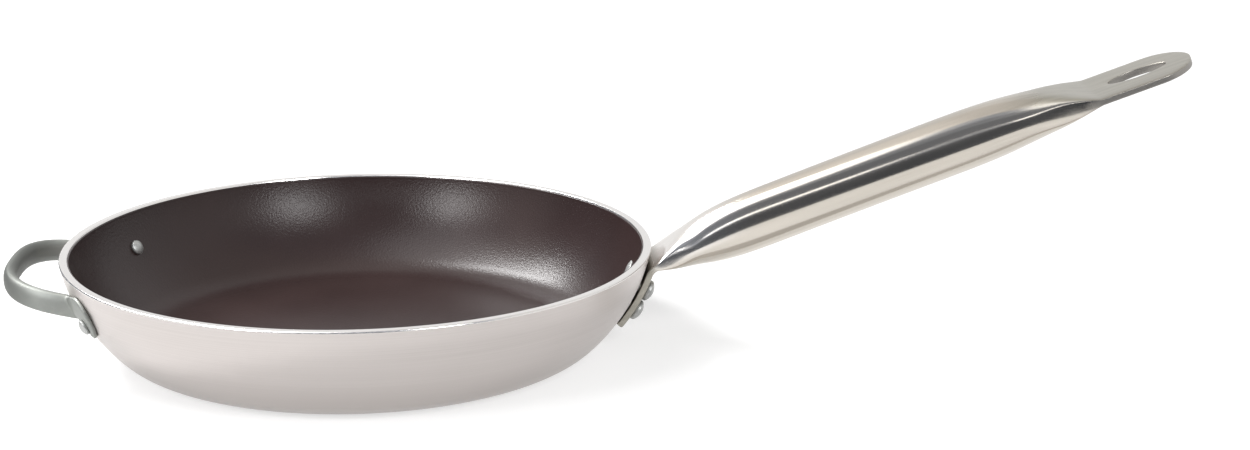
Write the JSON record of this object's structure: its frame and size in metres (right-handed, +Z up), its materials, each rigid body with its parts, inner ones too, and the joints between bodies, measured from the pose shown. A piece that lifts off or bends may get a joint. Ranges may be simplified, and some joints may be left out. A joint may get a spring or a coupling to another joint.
{
  "type": "omelette pan",
  "caption": "Round frying pan with flared walls, a dark non-stick inside, a long tubular riveted handle with a hanging slot and a bent helper handle opposite.",
  "frame": {"origin": "centre of the base, on the surface that the pan stands on", "axes": "+X along the long handle, +Z up out of the pan"},
  "size_m": [0.7231, 0.3598, 0.1786],
  "materials": {
    "pan_aluminium": "satin",
    "nonstick": "satin, finely pebbled",
    "handle_steel": "polished along its length",
    "helper_steel": "satin",
    "rivet_metal": "satin"
  },
  "bodies": {
    "root": {"pan_body": "pan_aluminium", "nonstick_lining": "nonstick", "long_handle": "handle_steel", "helper_handle": "helper_steel", "handle_rivet_upper_right": "rivet_metal", "handle_rivet_upper_left": "rivet_metal", "handle_rivet_lower_right": "rivet_metal", "handle_rivet_lower_left": "rivet_metal", "helper_rivet_right": "rivet_metal", "helper_rivet_left": "rivet_metal"}
  },
  "joints": []
}
